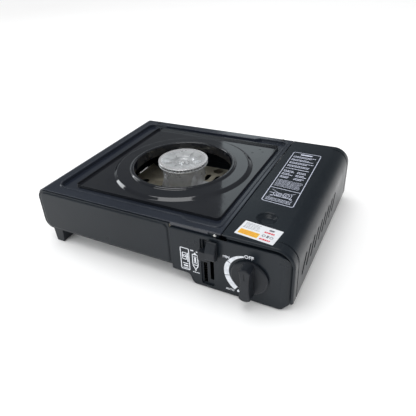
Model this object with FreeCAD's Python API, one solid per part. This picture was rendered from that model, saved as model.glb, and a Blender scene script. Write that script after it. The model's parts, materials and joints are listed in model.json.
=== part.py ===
import FreeCAD, Part
import math
import os

Vec = FreeCAD.Vector

# ---------------------------------------------------------------- driving dimensions (mm)
HALF_WIDTH = 172.5        # outer side walls
FRONT = -132.0            # outer face of the control panel and of the raised front panel
REAR = 132.0              # outer face of the rear wall
TOP = 79.0                # upper face of the top plate and of the lid
SHEET = 1.0               # sheet thickness of casing parts
FLOOR_LEFT = 19.5         # underside of the burner side of the case
FLOOR_RIGHT = 1.9         # underside of the cartridge tray
PANEL_LEFT = 27.8         # left edge of the control panel
PANEL_RIGHT = 169.3       # right edge of the control panel
PANEL_TOP = 73.0          # upper edge of the control panel
PANEL_BOTTOM = 0.8        # lower edge of the control panel
PANEL_DEPTH = 10.0        # depth of the return flange round the control panel
PLATE_RIGHT = 90.6        # right edge of the top plate
PLATE_HALF_DEPTH = 129.0  # top plate, front and rear edges
RECESS_LEFT = -150.0      # recess of the top plate
RECESS_RIGHT = 84.0
RECESS_HALF_DEPTH = 113.5
RECESS_WIDE_FRONT = 118.5
LEDGE_TOP = 75.5          # ledge that carries the drip pan
BEAD_WIDTH = 2.6          # raised bead round the recess
BEAD_TOP = 80.0
SKIRT_BOTTOM = 73.8       # front skirt of the top plate above the control panel
PAN_X = -26.5             # middle of the drip pan
PAN_HALF = 103.5          # half side of the drip pan
PAN_GAP = 0.2             # pan above its ledge
PAN_SHEET = 0.8
PAN_RIM_TOP = 79.5
PAN_CORNER_R = 5.0
PAN_HOLE_R = 68.2         # outside of the collar round the hole
PAN_LIP_TOP = 81.8        # rolled lip of the hole
RING_TOP = 79.5           # raised ring round the hole
BURNER_X = -26.0
BURNER_Y = 0.5
BURNER_TOP = 87.3
HEAD_R = 34.0
CUP_R = 29.0
TUBE_Z = 48.0             # height of mixing tube and gas pipe
LID_LEFT = 91.9
LID_HALF_DEPTH = 130.6
LID_BOTTOM = 11.5
LID_SHOULDER = 21.5       # radius between lid top and lid side
LID_END_ROUND = 3.0       # bend along the front and rear edge of the lid
HINGE_X = 96.0
HINGE_Z = 74.5
HINGE_PIN_R = 1.2
HINGE_PLAY = 0.05
DIVIDER_X = 86.5
CAN_X = 127.0             # axis of the gas cartridge
CAN_Z = 40.0
KNOB_X = 125.0
KNOB_Z = 34.8
KNOB_R = 21.25
SPINDLE_R = 2.95
SPINDLE_PLAY = 0.05
SLOT_X = 71.0             # middle of the lever slot
LEVER_TRAVEL = 22.0
PUSH_TRAVEL = 8.0
PIN_Y = -108.0            # cam pin at rest
PIN_Z = 32.0
PIN_R = 2.0
PIN_PLAY = 0.1
ROD_X = 80.2
TRAY_TOP = 31.0           # upper face of the burner tray
KNOB_BACK = FRONT - 0.5   # rear face of the knob's disc
GRIP_LENGTH = 16.5        # knob grip in front of the disc's rear face
COVER_Y = -100.0          # middle of the diaphragm cover
COVER_SCREW_R = 13.6      # circle of the cover screws
SCREW_CORE_R = 0.9        # shank of the cover screws
ELECTRODE_X = -47.0
ELECTRODE_Y = 38.0
LABEL_X = 125.9           # middle of the label on the lid
LABEL_Y = -110.3
LABEL_TURN = -6.6         # degrees
DIMPLE_X = 125.0          # finger dimple of the lid
DIMPLE_Y = -82.0
PLATE_SCREWS = [(-141.0, 124.0), (76.0, 124.5)]
PANEL_SCREWS = [(68.0, -126.0), (110.0, -126.0), (152.0, -126.0)]
FOOT_PADS = [(70.0, -108.0), (70.0, 112.0), (150.0, -108.0), (150.0, 112.0)]
SADDLE_SCREWS = [BURNER_X - 24, BURNER_X + 12]
LUG_ANGLES = [-31, -121, 59, 149]                       # feet round the burner cup, degrees
LUG_REACH = 27.0                                        # foot axis from the burner axis
WELDS = [(104.0, 0.0), (118.0, 4.5), (118.0, -4.5)]     # on each pan diagonal: distance, offset
CENTRE_SHIFT = -(KNOB_BACK - GRIP_LENGTH + REAR) / 2    # moves the middle of the stove to Y = 0

parts = {}


# ---------------------------------------------------------------- helpers
def box(x0, x1, y0, y1, z0, z1):
    return Part.makeBox(x1 - x0, y1 - y0, z1 - z0, Vec(x0, y0, z0))


def cyl_x(x0, x1, y, z, r):
    return Part.makeCylinder(r, x1 - x0, Vec(x0, y, z), Vec(1, 0, 0))


def cyl_y(x, y0, y1, z, r):
    return Part.makeCylinder(r, y1 - y0, Vec(x, y0, z), Vec(0, 1, 0))


def cyl_z(x, y, z0, z1, r):
    return Part.makeCylinder(r, z1 - z0, Vec(x, y, z0), Vec(0, 0, 1))


def outline(corners, place):
    """Closed wire through corners (u, v, radius); place turns (u, v) into a point."""
    count = len(corners)
    trimmed = []
    for i in range(count):
        u, v, radius = corners[i]
        before = corners[i - 1]
        after = corners[(i + 1) % count]
        into = Vec(before[0] - u, before[1] - v, 0).normalize()
        out = Vec(after[0] - u, after[1] - v, 0).normalize()
        if radius <= 0:
            trimmed.append((Vec(u, v, 0), None, Vec(u, v, 0)))
            continue
        half = math.acos(max(-1.0, min(1.0, into.dot(out)))) / 2
        reach = radius / math.tan(half)
        bisector = (into + out).normalize()
        middle = Vec(u, v, 0) + bisector * (radius / math.sin(half) - radius)
        trimmed.append((Vec(u, v, 0) + into * reach, middle, Vec(u, v, 0) + out * reach))
    edges = []
    for i in range(count):
        start, middle, end = trimmed[i]
        following = trimmed[(i + 1) % count][0]
        if middle is not None:
            edges.append(Part.Arc(place(start), place(middle), place(end)).toShape())
        if (following - end).Length > 1e-6:
            edges.append(Part.LineSegment(place(end), place(following)).toShape())
    return Part.Wire(edges)


def prism_xz(corners, y0, y1):
    wire = outline(corners, lambda p: Vec(p.x, y0, p.y))
    return Part.Face(wire).extrude(Vec(0, y1 - y0, 0))


def prism_xy(corners, z0, z1):
    wire = outline(corners, lambda p: Vec(p.x, p.y, z0))
    return Part.Face(wire).extrude(Vec(0, 0, z1 - z0))


def prism_yz(corners, x0, x1):
    wire = outline(corners, lambda p: Vec(x0, p.x, p.y))
    return Part.Face(wire).extrude(Vec(x1 - x0, 0, 0))


def turned(corners, x, y):
    """Solid turned about the vertical axis through (x, y) from corners (radius, height, round)."""
    wire = outline(corners, lambda p: Vec(x + p.x, y, p.y))
    return Part.Face(wire).revolve(Vec(x, y, 0), Vec(0, 0, 1), 360)


def turned_y(corners, x, z):
    """Solid turned about the axis along Y through (x, z) from corners (radius, y, round)."""
    wire = outline(corners, lambda p: Vec(x + p.x, p.y, z))
    return Part.Face(wire).revolve(Vec(x, 0, z), Vec(0, 1, 0), 360)


def turned_x(corners, y, z):
    """Solid turned about the axis along X through (y, z) from corners (radius, x, round)."""
    wire = outline(corners, lambda p: Vec(p.y, y, z + p.x))
    return Part.Face(wire).revolve(Vec(0, y, z), Vec(1, 0, 0), 360)


def rectangle(x0, x1, y0, y1, radius):
    return [(x0, y0, radius), (x1, y0, radius), (x1, y1, radius), (x0, y1, radius)]


def fuse(first, *others):
    return first.fuse(list(others)).removeSplitter()


def cut(base, *tools):
    return base.cut(list(tools))


def pipe(points, radii, r):
    """Round tube along straight runs joined by tangent arcs."""
    edges = []
    last = points[0]
    for i in range(1, len(points) - 1):
        into = (points[i - 1] - points[i]).normalize()
        out = (points[i + 1] - points[i]).normalize()
        half = math.acos(into.dot(out)) / 2
        reach = radii[i - 1] / math.tan(half)
        start = points[i] + into * reach
        end = points[i] + out * reach
        middle = points[i] + (into + out).normalize() * (radii[i - 1] / math.sin(half) - radii[i - 1])
        edges.append(Part.LineSegment(last, start).toShape())
        edges.append(Part.Arc(start, middle, end).toShape())
        last = end
    edges.append(Part.LineSegment(last, points[-1]).toShape())
    spine = Part.Wire(edges)
    section = Part.Wire(Part.makeCircle(r, points[0], points[1] - points[0]))
    solid = spine.makePipeShell([section], True, False)
    area = math.pi * r * r
    print("tube volume ratio %.4f" % (solid.Volume / (area * spine.Length)))
    return solid


def screw_down(x, y, z, head_r, head_h, shank_r, shank_l):
    """Pan-head screw whose head rests on height z, with a cross recess."""
    head = cyl_z(x, y, z, z + head_h, head_r)
    head = head.makeFillet(head_h * 0.5, [head.Edges[0]])
    shank = cyl_z(x, y, z - shank_l, z, shank_r)
    arm = head_r * 0.55
    slot_a = box(x - arm, x + arm, y - 0.3, y + 0.3, z + head_h * 0.55, z + head_h + 1)
    slot_b = box(x - 0.3, x + 0.3, y - arm, y + arm, z + head_h * 0.55, z + head_h + 1)
    return cut(fuse(head, shank), slot_a, slot_b)


# ---------------------------------------------------------------- casing
def body_shell():
    """Tray with left wall, stepped floor, low right wall, front-left wall and rear wall."""
    t = SHEET
    left = -HALF_WIDTH
    strip = prism_xz([
        (left, 65.8, 0), (left, FLOOR_LEFT, 12), (42, FLOOR_LEFT, 3), (57, FLOOR_RIGHT, 4),
        (159.5, FLOOR_RIGHT, 8), (168.2, 9.5, 4), (168.2, 36, 0), (167.2, 36, 0),
        (167.2, 9.9, 3), (159.1, FLOOR_RIGHT + t, 7), (57.5, FLOOR_RIGHT + t, 3),
        (42.5, FLOOR_LEFT + t, 4), (left + t, FLOOR_LEFT + t, 11), (left + t, 65.8, 0)],
        FRONT + 1.5, REAR)
    joggle = box(left + t, left + 2 * t, FRONT + 4.1, REAR - 4.1, 60, 67.4)
    outer_left = [(left, 77, 12), (left, FLOOR_LEFT, 12), (27.4, FLOOR_LEFT, 0), (27.4, 77, 0)]
    front_wall = prism_xz(outer_left, FRONT + 1.5, FRONT + 2.5)
    top_flange = box(-160, 27.4, FRONT + 2.5, FRONT + 14, 76, 77)
    raised = prism_xz([(-168.6, 21, 10), (25.4, 21, 3), (25.4, 75.6, 7), (-168.6, 75.6, 10)],
                      FRONT, FRONT + 2.5)
    front_edges = []
    for edge in raised.Edges:
        if all(abs(v.Y - FRONT) < 1e-4 for v in edge.Vertexes):
            front_edges.append(edge)
    raised = raised.makeFillet(2.2, front_edges)
    hollow = prism_xz([(-166.8, 22.8, 8.2), (23.6, 22.8, 1.2), (23.6, 73.8, 5.2), (-166.8, 73.8, 8.2)],
                      FRONT + 1.0, FRONT + 2.6)
    rear_wall = prism_xz([
        (left, 77, 12), (left, FLOOR_LEFT, 12), (42, FLOOR_LEFT, 3), (57, FLOOR_RIGHT, 4),
        (159.5, FLOOR_RIGHT, 8), (168.2, 9.5, 4), (168.2, 72.9, 16), (91, 72.9, 2), (91, 77, 2)],
        REAR - 1.0, REAR)
    shell = fuse(strip, joggle, front_wall, top_flange, raised, rear_wall)
    cuts = [hollow]
    cuts.append(box(27.4, 175, FRONT, -121.7, 0, 80))
    for row in range(2):
        for i in range(9):
            x = -120 + 20 * i
            z = 46 + 12 * row
            cuts.append(prism_xz([(x, z, 2), (x + 13, z, 2), (x + 13, z + 4.4, 2), (x, z + 4.4, 2)],
                                 REAR - 2, REAR + 1))
    for i in range(4):
        x = 100 + 14 * i
        cuts.append(prism_xz([(x, 30, 2), (x + 8, 30, 2), (x + 8, 60, 2), (x, 60, 2)],
                             REAR - 2, REAR + 1))
    for i in range(5):
        y = -50 + 25 * i
        cuts.append(prism_xy(rectangle(76, 80, y, y + 14, 1.9), 0, 4))
        cuts.append(prism_xy(rectangle(104, 150, y + 4, y + 9, 2.4), 0, 4))
    for x in (-112, -140):
        for y in (-60, 0, 60):
            cuts.append(prism_xy(rectangle(x, x + 8, y - 14, y + 14, 3.9), 18, 22))
    tray = cut(shell, *cuts)
    tabs = []
    for x, y in PANEL_SCREWS:
        tab = box(x - 6, x + 6, y - 3, -121.6, FLOOR_RIGHT, FLOOR_RIGHT + t)
        tabs.append(cut(tab, cyl_z(x, y, 0, 5, 1.5)))
    return fuse(tray, *tabs)


def control_panel():
    """Pressed front panel with return flange, recessed lever channel, slots and bent right end."""
    t = SHEET
    face = [(PANEL_LEFT, PANEL_TOP, 2), (PANEL_LEFT, 14.2, 1.5), (50.5, 13.4, 5), (55.5, PANEL_BOTTOM, 5),
            (160, PANEL_BOTTOM, 8), (PANEL_RIGHT, 9, 4), (PANEL_RIGHT, PANEL_TOP, 17)]
    inner = [(PANEL_LEFT + t, PANEL_TOP - t, 1), (PANEL_LEFT + t, 15.2, 0.5), (51.2, 14.4, 6),
             (56.2, PANEL_BOTTOM + t, 4), (159.6, PANEL_BOTTOM + t, 7), (PANEL_RIGHT - t, 9.5, 3),
             (PANEL_RIGHT - t, PANEL_TOP - t, 16)]
    solid = prism_xz(face, FRONT, FRONT + PANEL_DEPTH)
    rim = []
    for edge in solid.Edges:
        if all(abs(v.Y - FRONT) < 1e-4 for v in edge.Vertexes):
            rim.append(edge)
    solid = solid.makeFillet(0.9, rim)
    fold_x = 159.0
    fold_back = 5.0
    wedge = prism_xy([(fold_x, FRONT - 0.01, 0), (190, FRONT - 0.01, 0), (190, FRONT + fold_back * 3, 0),
                      (fold_x + 0.5, FRONT, 0)], -2, 80)
    solid = cut(solid, wedge)
    cavity = prism_xz(inner, FRONT + t, FRONT + PANEL_DEPTH + 1)
    inner_wedge = prism_xy([(fold_x - 1, FRONT + t - 0.01, 0), (190, FRONT + t - 0.01, 0),
                            (190, FRONT + t + fold_back * 3, 0), (fold_x, FRONT + t, 0)], -2, 80)
    cavity = cut(cavity, inner_wedge)
    panel = cut(solid, cavity)
    channel_outer = prism_xz([(65.5, 4, 3.5), (83.5, 4, 3.5), (83.5, 70, 3.5), (65.5, 70, 3.5)],
                             FRONT + t, FRONT + t + 2)
    channel_inner = prism_xz([(66.5, 5, 2.5), (82.5, 5, 2.5), (82.5, 69, 2.5), (66.5, 69, 2.5)],
                             FRONT - 1, FRONT + 2)
    slot_left = prism_xz([(68.7, 6.5, 1), (73.3, 6.5, 1), (73.3, 67, 1), (68.7, 67, 1)],
                         FRONT - 1, FRONT + 4)
    slot_right = prism_xz([(77, 13, 1), (81.6, 13, 1), (81.6, 43, 1), (77, 43, 1)],
                          FRONT - 1, FRONT + 4)
    panel = cut(fuse(panel, channel_outer), channel_inner, slot_left, slot_right)
    lid_notch = box(85.9, 97.5, FRONT + t, FRONT + PANEL_DEPTH + 1, 68, 74)
    spindle_hole = cyl_y(KNOB_X, FRONT - 1, FRONT + 2, KNOB_Z, 4.5)
    screw_holes = [cyl_z(x, y, 0, 5, 1.5) for x, y in PANEL_SCREWS]
    return cut(panel, lid_notch, spindle_hole, *screw_holes)


def recess_outline(grow):
    """Outline of the recess, grown outwards by grow; its front and rear edges step out at the right."""
    lead = -0.287 * grow
    left = RECESS_LEFT - grow
    right = RECESS_RIGHT + grow
    narrow = RECESS_HALF_DEPTH + grow
    wide = RECESS_WIDE_FRONT + grow
    return [(left, -narrow, 11 + grow), (36 + lead, -narrow, 4 - grow), (44 + lead, -wide, 4 + grow),
            (right, -wide, 6 + grow), (right, wide, 6 + grow), (44 + lead, wide, 4 + grow),
            (36 + lead, narrow, 4 - grow), (left, narrow, 11 + grow)]


def top_plate():
    """Top plate with a rounded left edge, short skirts and the recess with the pan's ledge."""
    t = SHEET
    left = -HALF_WIDTH
    d = PLATE_HALF_DEPTH
    outer = prism_xz([(left, 66, 0), (PLATE_RIGHT, 66, 0), (PLATE_RIGHT, TOP, 0.8), (left, TOP, 11)], -d, d)
    corner_edges = [e for e in outer.Edges if abs(e.BoundBox.XMax - left) < 0.01
                    and e.BoundBox.YLength < 0.01 and e.BoundBox.ZLength > 1]
    outer = outer.makeFillet(0.8, corner_edges)
    inner = prism_xz([(left + t, 65, 0), (PLATE_RIGHT + 1, 65, 0), (PLATE_RIGHT + 1, TOP - t, 0),
                      (left + t, TOP - t, 10)], -d + t, d - t)
    sheet = cut(outer, inner)
    skirt_cut = box(-160, PLATE_RIGHT + 1, -d - 1, d + 1, 60, 77.3)
    sheet = cut(sheet, skirt_cut)
    front_skirt = box(PANEL_LEFT + 0.4, 75.4, -d, -d + t, SKIRT_BOTTOM, TOP - 0.5)
    hollow = prism_xy(recess_outline(0), LEDGE_TOP, BEAD_TOP + 1)
    block = prism_xy(recess_outline(t), LEDGE_TOP - t, TOP - 0.2)
    bead = cut(prism_xy(recess_outline(BEAD_WIDTH), TOP - 0.6, BEAD_TOP), hollow)
    crest = []
    for edge in bead.Edges:
        if edge.BoundBox.ZLength < 0.01 and abs(edge.BoundBox.ZMin - BEAD_TOP) < 0.01:
            crest.append(edge)
    bead = bead.makeFillet(0.9, crest)
    plate = fuse(cut(fuse(sheet, front_skirt, block), hollow), bead)
    mouth = prism_xy(rectangle(PAN_X - 96, PAN_X + 96, -96, 96, 12), LEDGE_TOP - 3, LEDGE_TOP + 1)
    screw_holes = [cyl_z(x, y, 70, 82, 1.6) for x, y in PLATE_SCREWS]
    return cut(plate, mouth, *screw_holes)


def plate_screws():
    """Small pan-head screws that hold the top plate."""
    return Part.makeCompound([screw_down(x, y, TOP, 2.6, 1.3, 1.5, 6) for x, y in PLATE_SCREWS])


def divider_wall():
    """Wall between burner chamber and cartridge bay, with the lid's hinge brackets bent from it."""
    t = SHEET
    wall = box(DIVIDER_X, DIVIDER_X + t, -128, 128, FLOOR_RIGHT + t, 78)
    top_flange = box(DIVIDER_X - 0.5, DIVIDER_X, -128, 128, 74, 78)
    front_tab = box(76, DIVIDER_X, -128.6, -127.6, 73, 77.2)
    solid = fuse(wall, top_flange, front_tab)
    for side in (-1, 1):
        y0 = min(side * 118, side * 119)
        arm = box(DIVIDER_X + t, 99, y0, y0 + 1, 60, 69.4)
        post = box(HINGE_X - 2.5, HINGE_X + 2.5, y0, y0 + 1, 69.4, HINGE_Z)
        eye = cyl_y(HINGE_X, y0, y0 + 1, HINGE_Z, 2.9)
        solid = fuse(solid, arm, post, eye)
    holes = []
    for side in (-1, 1):
        holes.append(cyl_y(HINGE_X, side * 120 - 4, side * 120 + 4, HINGE_Z, HINGE_PIN_R))
    holes.append(cyl_x(80, 95, -94, TUBE_Z, 3.6))
    holes.append(cyl_x(80, 95, -66, 40, 2.4))
    holes.append(box(80, 95, 107.5, 120.5, 26, 38))
    holes.append(box(80, 95, -128.1, -123.5, 0, 20))
    for i in range(6):
        y = -40 + 24 * i
        holes.append(prism_yz([(y, 12, 2.4), (y + 14, 12, 2.4), (y + 14, 17, 2.4), (y, 17, 2.4)], 80, 95))
    return cut(solid, *holes)


def gap_rivet():
    """Rivet on the divider's front tab, seen in the gap above the control panel."""
    head = cyl_y(83.7, -130.2, -128.6, 75.2, 1.9)
    head = head.makeFillet(0.9, [e for e in head.Edges if abs(e.BoundBox.YMin + 130.2) < 0.01
                                 and e.BoundBox.YLength < 0.01])
    return head


def hinge_pins():
    """Two headed pins, front and rear, on which the lid turns."""
    pins = []
    for side in (-1, 1):
        a = side * 117.4
        b = side * 121.4
        shaft = cyl_y(HINGE_X, min(a, b), max(a, b), HINGE_Z, HINGE_PIN_R)
        c = side * 121.4
        d = side * 122.2
        head = cyl_y(HINGE_X, min(c, d), max(c, d), HINGE_Z, 2.2)
        e = side * 116.8
        f = side * 117.4
        inner_head = cyl_y(HINGE_X, min(e, f), max(e, f), HINGE_Z, 2.0)
        pins.append(fuse(shaft, head, inner_head))
    return Part.makeCompound(pins)


def lid_block(inset, end_round):
    """Filled shape of the cover, smaller by inset, with its front and rear edges rounded."""
    d = LID_HALF_DEPTH - inset
    right = HALF_WIDTH - inset
    top = TOP - inset
    block = prism_xz([(LID_LEFT, LID_BOTTOM, 0), (right, LID_BOTTOM, 0), (right, top, LID_SHOULDER - inset),
                      (LID_LEFT, top, 0)], -d, d)
    ends = []
    for edge in block.Edges:
        bb = edge.BoundBox
        if bb.YLength < 0.01 and bb.XMax > LID_LEFT + 0.1 and bb.ZMax > LID_BOTTOM + 0.1:
            ends.append(edge)
    return block.makeFillet(end_round, ends)


def lid():
    """Cartridge cover: top, large shoulder and side in one sheet, rims, dimple, louvres, hinge ears."""
    t = SHEET
    d = LID_HALF_DEPTH
    right = HALF_WIDTH
    rim_w = 2.6
    ends_open = [(LID_LEFT - 1, TOP - t, 0), (98, TOP - t, 0), (98, TOP - rim_w, 0),
                 (right - rim_w, TOP - rim_w, LID_SHOULDER - rim_w), (right - rim_w, LID_BOTTOM - 1, 0),
                 (LID_LEFT - 1, LID_BOTTOM - 1, 0)]
    solid = cut(lid_block(0, LID_END_ROUND), lid_block(t, LID_END_ROUND - t), prism_xz(ends_open, -d - 1, d + 1))
    crease = 0.6
    groove = prism_xz([(150, TOP, 0), (151.4, TOP - crease, 0),
                       (right - crease, TOP - crease, LID_SHOULDER - crease), (right - crease, LID_BOTTOM - 1, 0),
                       (right + 1, LID_BOTTOM - 1, 0), (right + 1, TOP + 1, 0), (150, TOP + 1, 0)],
                      -119.4, -116.8)
    cuts = [groove, groove.mirror(Vec(0, 0, 0), Vec(0, 1, 0))]
    dish = turned([(0, TOP - 5.6, 0), (7.5, TOP - 5.6, 3), (12.4, TOP - 2, 2), (12.4, TOP - 0.4, 0),
                   (0, TOP - 0.4, 0)], DIMPLE_X, DIMPLE_Y)
    bowl = turned([(0, TOP - 4.6, 0), (7.1, TOP - 4.6, 3), (11.2, TOP - 1.4, 1.5), (11.4, TOP - 0.6, 0),
                   (12.6, TOP, 0), (12.6, TOP + 1, 0), (0, TOP + 1, 0)], DIMPLE_X, DIMPLE_Y)
    solid = cut(fuse(solid, dish), bowl)
    louvre_tilt = math.radians(55)
    for i in range(9):
        yc = -94 + 17 * i
        zc = 41
        along = Vec(math.cos(louvre_tilt), math.sin(louvre_tilt), 0)
        across = Vec(-math.sin(louvre_tilt), math.cos(louvre_tilt), 0)
        corners = []
        for a, b in ((-13, -3), (13, -3), (13, 3), (-13, 3)):
            p = Vec(yc, zc, 0) + along * a + across * b
            corners.append((p.x, p.y, 2.9))
        cuts.append(prism_yz(corners, right - 3, right + 2))
    solid = cut(solid, *cuts)
    for side in (-1, 1):
        y0 = min(side * 119.5, side * 120.5)
        ear = box(HINGE_X - 3.8, HINGE_X + 3.8, y0, y0 + 1, HINGE_Z, TOP - t)
        eye = cyl_y(HINGE_X, y0, y0 + 1, HINGE_Z, 3.8)
        solid = fuse(solid, ear, eye)
    bores = [cyl_y(HINGE_X, side * 120 - 2, side * 120 + 2, HINGE_Z, HINGE_PIN_R + HINGE_PLAY)
             for side in (-1, 1)]
    return cut(solid, *bores)


def lid_label():
    """Small paper label on the lid."""
    label = prism_xy(rectangle(-22.3, 22.3, -13.2, 13.2, 0.8), TOP, TOP + 0.15)
    label.rotate(Vec(0, 0, 0), Vec(0, 0, 1), LABEL_TURN)
    label.translate(Vec(LABEL_X, LABEL_Y, 0))
    return label


def foot_left(side):
    """Tall folded foot under the burner side; side is -1 for front and 1 for rear."""
    y_out = side * 130.0
    y_in = side * 110.0
    y0 = min(y_out, y_in)
    y1 = max(y_out, y_in)
    block = prism_xz([(-159, 0, 1.5), (-147, 0, 1.5), (-145, FLOOR_LEFT, 0), (-160.3, FLOOR_LEFT, 0)], y0, y1)
    inner = prism_xz([(-157.6, 1.6, 0.5), (-148.4, 1.6, 0.5), (-146.6, FLOOR_LEFT + 1, 0),
                      (-158.8, FLOOR_LEFT + 1, 0)], y0 + 1.6, y1 - 1.6)
    return cut(block, inner)


def foot_pads():
    """Low rubber pads under the cartridge side."""
    pads = []
    for x, y in FOOT_PADS:
        pads.append(prism_xy(rectangle(x - 9, x + 9, y - 7, y + 7, 3), 0, FLOOR_RIGHT))
    return Part.makeCompound(pads)


def panel_screws():
    """Screws that hold the lower flange of the control panel from below."""
    screws = []
    for x, y in PANEL_SCREWS:
        head = cyl_z(x, y, 0.1, PANEL_BOTTOM, 2.6)
        shank = cyl_z(x, y, PANEL_BOTTOM, 7, 1.4)
        screws.append(fuse(head, shank))
    return Part.makeCompound(screws)


# ---------------------------------------------------------------- drip pan and pot supports
def drip_pan():
    """Square enamelled pan, stored upside down: rim turned up, raised ring, collar turned down."""
    s = PAN_SHEET
    z = LEDGE_TOP + PAN_GAP
    collar_bottom = 67.5
    profile = [(PAN_HOLE_R - s, collar_bottom, 0.3), (PAN_HOLE_R, collar_bottom, 0.3),
               (PAN_HOLE_R, PAN_LIP_TOP - s, 0.8), (PAN_HOLE_R + 2.4, PAN_LIP_TOP - s, 1.4),
               (PAN_HOLE_R + 4.6, RING_TOP - s, 2.8), (90, RING_TOP - s, 3), (94.5, z, 3), (155, z, 0),
               (155, z + s, 0), (94.9, z + s, 2.2), (90.4, RING_TOP, 3.8), (PAN_HOLE_R + 5, RING_TOP, 2.0),
               (PAN_HOLE_R + 2.8, PAN_LIP_TOP, 2.2), (PAN_HOLE_R - s, PAN_LIP_TOP, 1.6)]
    sheet = turned(profile, PAN_X, 0)
    square = prism_xy(rectangle(PAN_X - PAN_HALF, PAN_X + PAN_HALF, -PAN_HALF, PAN_HALF, PAN_CORNER_R), 60, 90)
    core = prism_xy(rectangle(PAN_X - PAN_HALF + s, PAN_X + PAN_HALF - s, -PAN_HALF + s, PAN_HALF - s,
                              PAN_CORNER_R - s), 60, 90)
    rim = cut(square.common(box(-200, 200, -200, 200, z, PAN_RIM_TOP)), core)
    pan = fuse(sheet.common(square), rim)
    outer_low = []
    for edge in pan.Edges:
        bb = edge.BoundBox
        if bb.ZLength < 0.01 and abs(bb.ZMin - z) < 0.01:
            far = max(abs(bb.XMin - PAN_X), abs(bb.XMax - PAN_X), abs(bb.YMin), abs(bb.YMax))
            if far > PAN_HALF - 0.1:
                outer_low.append(edge)
    pan = pan.makeFillet(0.7, outer_low)
    dimples = []
    for sx in (-1, 1):
        for sy in (-1, 1):
            for r, off in WELDS:
                x, y = diagonal_point(sx, sy, r, off)
                dimples.append(cyl_z(x, y, z + s - 0.3, z + s + 1, 1.6))
    return cut(pan, *dimples)


def diagonal_point(sx, sy, r, off):
    """Point at distance r along a pan diagonal, shifted off to its side."""
    k = math.sqrt(0.5)
    return PAN_X + sx * k * r - sy * k * off, sy * k * r + sx * k * off


def pot_support(sx, sy):
    """Folded support bracket, hanging from the stored pan: base flange and notched upright web."""
    z = LEDGE_TOP + PAN_GAP
    base = prism_xy(rectangle(98, 124, -7, 7, 2), z - 1.2, z)
    web_outline = [(80, z - 24, 1.5), (84, z - 27, 1.5), (110, z - 27, 3), (123, z - 1.2, 0),
                   (99, z - 1.2, 0), (95, z - 9, 2), (82, z - 17, 2)]
    wire = outline(web_outline, lambda p: Vec(p.x, -0.75, p.y))
    web = Part.Face(wire).extrude(Vec(0, 1.5, 0))
    solid = fuse(base, web)
    angle = math.degrees(math.atan2(sy, sx))
    solid.rotate(Vec(0, 0, 0), Vec(0, 0, 1), angle)
    solid.translate(Vec(PAN_X, 0, 0))
    return solid


# ---------------------------------------------------------------- burner and gas path
def burner_cup():
    """Cast cup below the head, with four flared feet and the socket of the mixing tube."""
    hollow = [(0, 40, 0), (12.4, 40, 3), (17, 47.4, 5), (CUP_R - 2, 56, 4), (CUP_R - 2, 78.5, 0), (0, 78.5, 0)]
    wall = [(0, 38, 0), (14, 38, 3), (18, 46, 5), (CUP_R, 55, 4), (CUP_R, 78.5, 0), (0, 78.5, 0)]
    bowl_space = turned(hollow, BURNER_X, BURNER_Y)
    cup = turned(wall, BURNER_X, BURNER_Y)
    socket = cyl_x(BURNER_X + 18, BURNER_X + 40, BURNER_Y, TUBE_Z, 9.5)
    feet = []
    for angle in LUG_ANGLES:
        x = BURNER_X + LUG_REACH * math.cos(math.radians(angle))
        y = BURNER_Y + LUG_REACH * math.sin(math.radians(angle))
        foot = [(0, 54.5, 0), (7.6, 54.5, 0.6), (7.2, 57, 1), (4.2, 68, 8), (2.4, 73.5, 1.5), (0, 73.5, 0)]
        feet.append(turned(foot, x, y))
    cup = cut(fuse(cup, socket, *feet), bowl_space)
    bore = cyl_x(BURNER_X + 10, BURNER_X + 41, BURNER_Y, TUBE_Z, 7.5)
    return cut(cup, bore)


def burner_ring():
    """Port ring: lower rim, row of flame ports and upper band."""
    ring = turned([(CUP_R - 2, 78.5, 0), (CUP_R, 78.5, 0), (CUP_R + 0.4, 80.6, 0.5), (HEAD_R - 0.4, 81.6, 0.5),
                   (HEAD_R, 82.2, 0.2), (HEAD_R, 82.7, 0.2), (HEAD_R - 0.8, 83.0, 0),
                   (HEAD_R - 0.8, 85.6, 0), (CUP_R - 2, 85.6, 0)], BURNER_X, BURNER_Y)
    ports = []
    count = 44
    for i in range(count):
        angle = 360.0 * i / count
        port = Part.makeBox(10, 2.4, 2.2, Vec(HEAD_R - 9, -1.2, 83.2))
        port.rotate(Vec(0, 0, 0), Vec(0, 0, 1), angle)
        port.translate(Vec(BURNER_X, BURNER_Y, 0))
        ports.append(port)
    return cut(ring, *ports)


def burner_cap():
    """Cap with a flat outer lip, sloping ribbed dish, inner recess and centre boss."""
    dish = [(0, 79.5, 0), (8, 79.5, 1), (20, 82.2, 1), (CUP_R - 2.1, 83.0, 0), (CUP_R - 2.1, 85.6, 0),
            (HEAD_R, 85.6, 0.4), (HEAD_R, BURNER_TOP, 0.8), (HEAD_R - 3.6, BURNER_TOP, 0.5),
            (15.5, 84.0, 0.8), (13.5, 81.4, 0.8), (6, 80.9, 0.8), (4.5, 84.2, 1.0), (0, 84.6, 0)]
    cap = turned(dish, BURNER_X, BURNER_Y)
    ribs = []
    count = 10
    for i in range(count):
        rib = Part.makeBox(11.3, 1.2, 3.2, Vec(15.5, -0.6, 83.4))
        rib.rotate(Vec(0, 0, 0), Vec(0, 0, 1), 360.0 * i / count + 12)
        rib.translate(Vec(BURNER_X, BURNER_Y, 0))
        ribs.append(rib)
    return fuse(cap, *ribs)


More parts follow.
